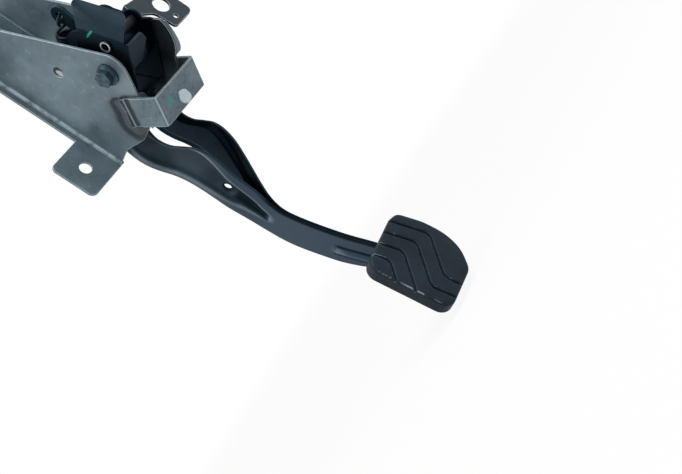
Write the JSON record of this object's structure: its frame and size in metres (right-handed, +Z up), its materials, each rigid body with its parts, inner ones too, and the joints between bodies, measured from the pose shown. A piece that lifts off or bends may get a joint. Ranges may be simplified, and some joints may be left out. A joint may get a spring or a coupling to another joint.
{
  "type": "clutch pedal",
  "caption": "Hanging clutch pedal: a forked pressed arm with a grooved rubber pad swings in a steel bulkhead bracket, returned by a spring to a rubber stop.",
  "frame": {"origin": "middle of the bulkhead bolts, on the face that meets the bulkhead", "axes": "+Y forward through the bulkhead, +Z up, +X to the right of the driver"},
  "size_m": [0.1176, 0.1044, 0.373],
  "materials": {
    "bracket_steel": "dull zinc plating",
    "black_coat": "gloss black dip coating",
    "dark_bolt": "dark plated",
    "bright_steel": "bright cut steel",
    "spring_wire": "dark oiled wire",
    "bush_nylon": "matte",
    "stop_rubber": "pale matte",
    "pad_rubber": "matte black"
  },
  "bodies": {
    "bracket": {"left_side_plate": "bracket_steel", "right_side_plate": "bracket_steel", "front_plate": "bracket_steel", "guard_strap": "bracket_steel", "switch_bracket": "bracket_steel", "pivot_bolt": "dark_bolt", "pivot_nut": "dark_bolt", "pivot_washer": "dark_bolt", "pivot_sleeve": "bright_steel", "stop_bumper": "stop_rubber", "return_spring": "spring_wire"},
    "pedal_arm": {"arm_left_shell": "black_coat", "arm_right_shell": "black_coat", "hub_tube": "black_coat", "left_bush": "bush_nylon", "right_bush": "bush_nylon", "spacer_tube": "bright_steel", "spring_lever": "black_coat", "pushrod_pin": "bright_steel", "pin_clip": "spring_wire", "pad_plate": "black_coat", "pad_rubber": "pad_rubber"}
  },
  "joints": [
    {"name": "pedal_swing", "type": "hinge", "parent": "bracket", "child": "pedal_arm", "pos_m": [0, -0.072, -0.0362], "axis": [1, 0, 0], "range_deg": [0, 28], "stiffness_Nm_per_rad": 2.5, "springref_deg": -34.38, "deforming": ["return_spring"]}
  ]
}
